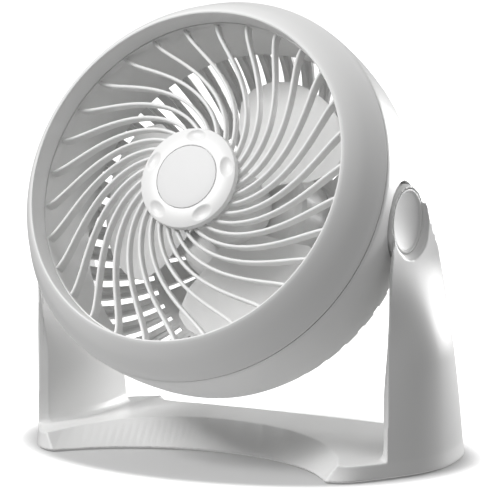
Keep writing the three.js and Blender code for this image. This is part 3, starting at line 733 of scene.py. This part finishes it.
def grille():
    outline = [
        (BAND_RADIUS - 0.6, HOOP_FRONT), (DUCT_RADIUS - GAP, HOOP_FRONT),
        (DUCT_RADIUS - GAP, HOOP_BACK), (BAND_RADIUS - 0.6, HOOP_BACK),
    ]
    piece = turned("curved_rib_grille", fillet(outline, [0.4, 0.2, 0.2, 0.4], 3), HEAD, 240)
    hub_outline = [(22, 46), (HUB_RADIUS, 46), (HUB_RADIUS, 51.6), (22, 51.6)]
    hub = turned("hub", fillet(hub_outline, [0.4, 0.8, 0.8, 0.4], 3), HEAD, 128)
    parts = [piece, hub]
    for i in range(RIB_COUNT):
        rings = rib_rings(math.tau * i / RIB_COUNT, HUB_RADIUS - 2, BAND_RADIUS)
        count = len(rings[0])
        points = [point for ring in rings for point in ring]
        faces = [tuple(range(count)), tuple(range(len(points) - count, len(points)))]
        for ring in range(len(rings) - 1):
            for k in range(count):
                a, b = ring * count + k, ring * count + (k + 1) % count
                faces.append((a, b, b + count, a + count))
        parts.append(solid("rib", points, faces, HEAD))
    merge(piece, parts[1:])
    installed(shaded(piece, 40), "white_plastic", "head", "front_grille")


def merge(piece, others):
    """Adds the others' meshes to the piece's."""
    work = bmesh.new()
    work.from_mesh(piece.data)
    for other in others:
        work.from_mesh(other.data)
        bpy.data.objects.remove(other)
    work.to_mesh(piece.data)
    work.free()
    return piece


def dimple_depth(x, y):
    """Five shallow scoops round the centre cap."""
    depth = 0
    for i in range(DIMPLE_COUNT):
        turn = math.radians(90 + 360 / DIMPLE_COUNT * i)
        along = x * math.cos(turn) + y * math.sin(turn) - 26.2
        across = -x * math.sin(turn) + y * math.cos(turn)
        reach = math.hypot(along / 3.9, across / 6.4)
        if reach < 1:
            depth = max(depth, 1.75 * (1 - reach ** 2.4))
    return depth


def centre_cap():
    crown_rows = [
        (radius, 58.2 - 2.1 * ((radius - 20) / 11.6) ** 2.4) for radius in steps(30, 20.4, 31.2)
    ]
    profile = [(0, 52), (30.9, 52), (CENTRE_CAP_RADIUS, 52.5), (CENTRE_CAP_RADIUS, 55.3)]
    profile += crown_rows[::-1]
    seat = LABEL_RADIUS + GAP
    profile += [(seat + 0.1, 58.1), (seat, 57.9), (seat, 57.2), (0, 57.2)]
    piece = turned("scooped_centre_cap", profile, Matrix.Identity(4), 240)
    for vertex in piece.data.vertices:
        x, y, z = vertex.co / MM
        if z > 55.2 and math.hypot(x, y) > seat + 0.3:
            vertex.co.z -= dimple_depth(x, y) * MM
    piece.data.transform(Matrix.Scale(MM, 4) @ HEAD @ Matrix.Scale(1 / MM, 4))
    installed(shaded(piece, 30), "cap_white", "head", "centre_cap")


def label_disc():
    outline = [(0, 57.5), (LABEL_RADIUS, 57.5), (LABEL_RADIUS, 58.3), (14, 58.6), (8, 58.9), (0, 59.05)]
    piece = turned("centre_disc", fillet(outline, [0, 0.2, 0.35, 0, 0, 0], 4), HEAD, 160)
    installed(shaded(piece, 30), "label_grey", "head", "label_disc")


# ---------------------------------------------------------------------------------------------
# Blade, motor cover and back
# ---------------------------------------------------------------------------------------------
BLADE_SECTIONS = [(22.5, 26), (36, 35), (56, 42), (73, 41), (80, 35), (84.5, 26), (86.4, 17), (87, 8)]


def blade_half_angle(radius):
    for (r0, a0), (r1, a1) in zip(BLADE_SECTIONS, BLADE_SECTIONS[1:]):
        if radius <= r1:
            share = (radius - r0) / (r1 - r0)
            return math.radians(mix(a0, a1, share))
    return math.radians(BLADE_SECTIONS[-1][1])


def blade_ring(radius):
    half = blade_half_angle(radius)
    front, back = [], []
    for share in steps(30, -1, 1):
        angle = half * share
        camber = 3 * (1 - share * share)
        pitch = 0.2 * mix(1.35, 0.8, radius / BLADE_TIP_RADIUS)
        middle = -1 - pitch * radius * angle - camber
        thick = 0.25 + 0.65 * math.sqrt(max(0, 1 - abs(share) ** 3))
        across = (radius * math.cos(angle), radius * math.sin(angle))
        front.append(Vector((*across, middle + thick)))
        back.append(Vector((*across, middle - thick)))
    return front + back[::-1]


def fan_blade():
    radii = steps(30, 22.5, 80) + [81.5, 83, 84.2, 85.2, 86, 86.5, 86.85, BLADE_TIP_RADIUS]
    outline = [
        (0, 12.4), (8, 12.35), (14, 12.1), (18, 11), (21, 9.2), (23, 7.2), (BLADE_HUB_RADIUS, 4.6),
        (BLADE_HUB_RADIUS, -9), (BLADE_HUB_RADIUS - 2, -9), (BLADE_HUB_RADIUS - 2, 4.4), (15, 9.8),
        (7, 10), (7, -7), (0, -7),
    ]
    piece = turned("three_petal_blade", outline, HEAD, 120)
    for i in range(BLADE_COUNT):
        turn = Matrix.Rotation(math.radians(60 + 360 / BLADE_COUNT * i), 4, "Z")
        joined(piece, loft("petal", [blade_ring(radius) for radius in radii], HEAD @ turn))
    cut(piece, turned("bore", [(0, -20), (3.3, -20), (3.3, 20), (0, 20)], HEAD, 32))
    installed(shaded(piece, 40), "white_plastic", "blade", "fan_blade")


def motor_cover():
    outline = [
        (7, -12), (38, -12), (42, -13.5), (COVER_RADIUS, -17), (COVER_RADIUS, -57.3),
        (COVER_RADIUS - 1.8, -57.3), (COVER_RADIUS - 1.8, -17.6), (41, -15.2), (37.6, -13.8), (7, -13.8),
    ]
    profile = fillet(outline, [0.4, 2, 2, 1.5, 0.3, 0.3, 1, 1, 1, 0.4], 4)
    piece = turned("round_motor_cover", profile, HEAD, 128)
    installed(shaded(piece, 30), "white_plastic", "head", "motor_cover")


def speed_knob():
    skirt_outline = [(0, -60.6), (KNOB_RADIUS, -60.6), (KNOB_RADIUS, -64), (KNOB_RADIUS - 1.6, -66), (0, -66)]
    piece = turned("grip_knob", fillet(skirt_outline, [0, 0.3, 0.8, 1, 0], 4), HEAD, 120)
    low, high = -76, -65.4
    rings = []
    for along in steps(10, low, high):
        share = (along - low) / (high - low)
        half_width = mix(2.5, 3.6, share) if share > 0.12 else 2.1
        half_length = mix(13.8, 15.2, share) if share > 0.12 else 13.4
        front = [Vector((half_width * math.sin(turn), half_length * math.cos(turn), along))
                 for turn in steps(14, 0, math.pi)]
        back = [Vector((-point.x, point.y, point.z)) for point in front]
        rings.append(front + back[::-1])
    grip = loft("grip", rings, HEAD)
    joined(piece, grip)
    cut(piece, turned("socket", [(0, -70.4), (3.3, -70.4), (3.3, -50), (0, -50)], HEAD, 48))
    softened(piece, 0.5, 3, 35)
    installed(shaded(piece, 35), "white_plastic", "knob", "speed_knob")


def cord_gland():
    outline = [
        (2.6, -55), (6.4, -55), (6.4, -56.8), (4.5, -56.8), (4.5, -61.2), (6.8, -61.2), (6.3, -64),
        (5.7, -67), (5.2, -70), (2.6, -70),
    ]
    place = HEAD @ Matrix.Translation((0, -GLAND_OFFSET, 0))
    profile = fillet(outline, [0.3, 0.3, 0.2, 0.2, 0.2, 0.5, 0, 0, 0.6, 0.4], 3)
    piece = turned("cord_sleeve", profile, place, 64)
    installed(shaded(piece), "black_plastic", "head", "cord_gland")


def blade_nut():
    outline = [(0, 12.8), (6.5, 12.8), (6.5, 14.4), (5.5, 14.6), (5, 18.5), (2.6, 20), (0, 20.4)]
    piece = turned("blade_cap_nut", fillet(outline, [0, 0.3, 0.4, 0.3, 0.8, 0.6, 0], 3), HEAD, 72)
    cut(piece, turned("bore", [(0, 10), (3.3, 10), (3.3, 15.8), (0, 15.8)], HEAD, 32))
    installed(shaded(piece), "white_plastic", "blade", "blade_nut")


# ---------------------------------------------------------------------------------------------
# Inner pieces keep their CAD mesh
# ---------------------------------------------------------------------------------------------
INNER_PIECES = {
    "zinc_steel": [
        "pivot_screw_right", "pivot_screw_left", "pivot_washer_right", "pivot_washer_left",
        "motor_bolt_right", "motor_bolt_left",
        "housing_screw_1", "housing_screw_2", "housing_screw_3", "housing_screw_4",
    ],
    "black_plastic": ["friction_washer_right", "friction_washer_left", "rotary_switch"],
    "bracket_aluminium": ["motor_front_bracket", "motor_rear_bracket"],
    "bearing_bronze": ["bearing_front", "bearing_rear"],
    "lamination_steel": ["stator_core", "rotor"],
    "copper_winding": ["stator_coil"],
    "shaft_steel": ["motor_shaft"],
    "label_grey": ["switch_spindle"],
}


def inner_pieces():
    for slot, nodes in INNER_PIECES.items():
        for name in nodes:
            node = frame["nodes"][name]
            node.data.materials.clear()
            node.data.materials.append(FINISHES[slot])


# ---------------------------------------------------------------------------------------------
# Studio
# ---------------------------------------------------------------------------------------------
CAMERA_AZIMUTH, CAMERA_ELEVATION = math.radians(29.36), math.radians(8.72)
CAMERA_DISTANCE = 2.208
CAMERA_LENS = 260.99
LOOK_AT = Vector((0, PIVOT.y, 119.6)) * MM
AIM_RIGHT, AIM_UP = 12.35 * MM, 5.72 * MM

# The floor's painted shade, where its glow is held back round the base, is an ellipse of this half width and
# half depth, in metres, about this Y.
FLOOR_RADIUS = 30
FLOOR_PAINTED_SHADE_WIDTH, FLOOR_PAINTED_SHADE_DEPTH = 0.142, 0.104
FLOOR_PAINTED_SHADE_Y = (PIVOT.y + BASE_MIDDLE_Y) * MM
SHADE_START, SHADE_END = 0.96, 1.16  # where the glow starts and is full, in shares of the ellipse

# Light levels and places; places are metres, and the key's is along TOWARDS and against RIGHT
SKY_LEVEL, SKY_OVERHEAD = 0.08, 1.05
KEY_TOWARDS, KEY_LEFT, KEY_HEIGHT, KEY_POWER = 1.0, 1.6, 1.7, 42
KEY_SIZE = (1.0, 0.8)
RIM_PLACE, RIM_POWER = (0.65, 2.05, 0.3), 36
RIM_SIZE = (1.0, 0.6)

RIGHT = Vector((math.cos(CAMERA_AZIMUTH), math.sin(CAMERA_AZIMUTH), 0))
TOWARDS = Vector((
    math.sin(CAMERA_AZIMUTH) * math.cos(CAMERA_ELEVATION),
    -math.cos(CAMERA_AZIMUTH) * math.cos(CAMERA_ELEVATION),
    math.sin(CAMERA_ELEVATION),
))


def aimed(thing, place, target):
    thing.location = place
    thing.rotation_mode = "QUATERNION"
    thing.rotation_quaternion = (target - place).to_track_quat("-Z", "Y")
    bpy.context.collection.objects.link(thing)
    return thing


def camera():
    data = bpy.data.cameras.new("camera")
    data.lens = CAMERA_LENS
    data.sensor_width = 36
    eye = LOOK_AT + TOWARDS * CAMERA_DISTANCE
    target = LOOK_AT + RIGHT * AIM_RIGHT + TOWARDS.cross(RIGHT) * AIM_UP
    bpy.context.scene.camera = aimed(bpy.data.objects.new("camera", data), eye, target)


def soft_light(name, place, size, power):
    data = bpy.data.lights.new(name, "AREA")
    data.shape = "RECTANGLE"
    data.size, data.size_y = size
    data.energy = power
    aimed(bpy.data.objects.new(name, data), Vector(place), LOOK_AT)


def sky(level, overhead):
    """Soft surroundings: one strength at eye level, rising to another straight up and straight down."""
    world = bpy.data.worlds.new("studio")
    world.use_nodes = True
    tree = world.node_tree
    background = tree.nodes["Background"]
    background.inputs["Color"].default_value = (1, 1, 1, 1)
    place = tree.nodes.new("ShaderNodeTexCoord")
    axes = tree.nodes.new("ShaderNodeSeparateXYZ")
    tree.links.new(place.outputs["Generated"], axes.inputs["Vector"])
    square = tree.nodes.new("ShaderNodeMath")
    square.operation = "MULTIPLY"
    tree.links.new(axes.outputs["Z"], square.inputs[0])
    tree.links.new(axes.outputs["Z"], square.inputs[1])
    strength = tree.nodes.new("ShaderNodeMapRange")
    strength.inputs["To Min"].default_value = level
    strength.inputs["To Max"].default_value = overhead
    tree.links.new(square.outputs["Value"], strength.inputs["Value"])
    tree.links.new(strength.outputs["Result"], background.inputs["Strength"])
    bpy.context.scene.world = world


def floor():
    """Pale round sweep that glows white, except in a soft painted shade round the base, where its glow dies
    out in an ellipse and the floor darkens towards the base.
    """
    mesh = bpy.data.meshes.new("floor")
    work = bmesh.new()
    bmesh.ops.create_circle(work, cap_ends=True, radius=FLOOR_RADIUS, segments=96)
    work.to_mesh(mesh)
    work.free()
    piece = bpy.data.objects.new("floor", mesh)
    bpy.context.collection.objects.link(piece)
    material = bpy.data.materials.new("floor")
    material.use_nodes = True
    tree = material.node_tree
    shader = tree.nodes["Principled BSDF"]
    shader.inputs["Base Color"].default_value = (0.6, 0.6, 0.6, 1)
    shader.inputs["Roughness"].default_value = 0.75
    shader.inputs["Emission Color"].default_value = (1, 1, 1, 1)
    place = tree.nodes.new("ShaderNodeTexCoord")
    squash = tree.nodes.new("ShaderNodeMapping")
    squash.inputs["Location"].default_value = (0, -FLOOR_PAINTED_SHADE_Y / FLOOR_PAINTED_SHADE_DEPTH, 0)
    squash.inputs["Scale"].default_value = (1 / FLOOR_PAINTED_SHADE_WIDTH, 1 / FLOOR_PAINTED_SHADE_DEPTH, 1)
    tree.links.new(place.outputs["Object"], squash.inputs["Vector"])
    distance = tree.nodes.new("ShaderNodeVectorMath")
    distance.operation = "LENGTH"
    tree.links.new(squash.outputs["Vector"], distance.inputs[0])
    # Painted shadow: the glow is 0 inside the ellipse round the base and rises to full outside it.
    glow = tree.nodes.new("ShaderNodeMapRange")
    glow.interpolation_type = "SMOOTHSTEP"
    glow.inputs["From Min"].default_value = SHADE_START
    glow.inputs["From Max"].default_value = SHADE_END
    glow.inputs["To Min"].default_value = 0.0
    glow.inputs["To Max"].default_value = 1.0
    tree.links.new(distance.outputs["Value"], glow.inputs["Value"])
    tree.links.new(glow.outputs["Result"], shader.inputs["Emission Strength"])
    mesh.materials.append(material)
    piece.visible_diffuse = False
    piece.visible_glossy = False


def studio():
    camera()
    floor()
    sky(SKY_LEVEL, SKY_OVERHEAD)
    left = LOOK_AT + TOWARDS * KEY_TOWARDS - RIGHT * KEY_LEFT
    soft_light("key", (left.x, left.y, KEY_HEIGHT), KEY_SIZE, KEY_POWER)
    soft_light("rim", RIM_PLACE, RIM_SIZE, RIM_POWER)
    bpy.context.scene.view_settings.view_transform = "Standard"


# ---------------------------------------------------------------------------------------------
# Assembly
# ---------------------------------------------------------------------------------------------
stand()
foot_pads()
pivot_caps()
front_ring()
rear_housing()
grille()
centre_cap()
label_disc()
fan_blade()
motor_cover()
blade_nut()
speed_knob()
cord_gland()
inner_pieces()
studio()
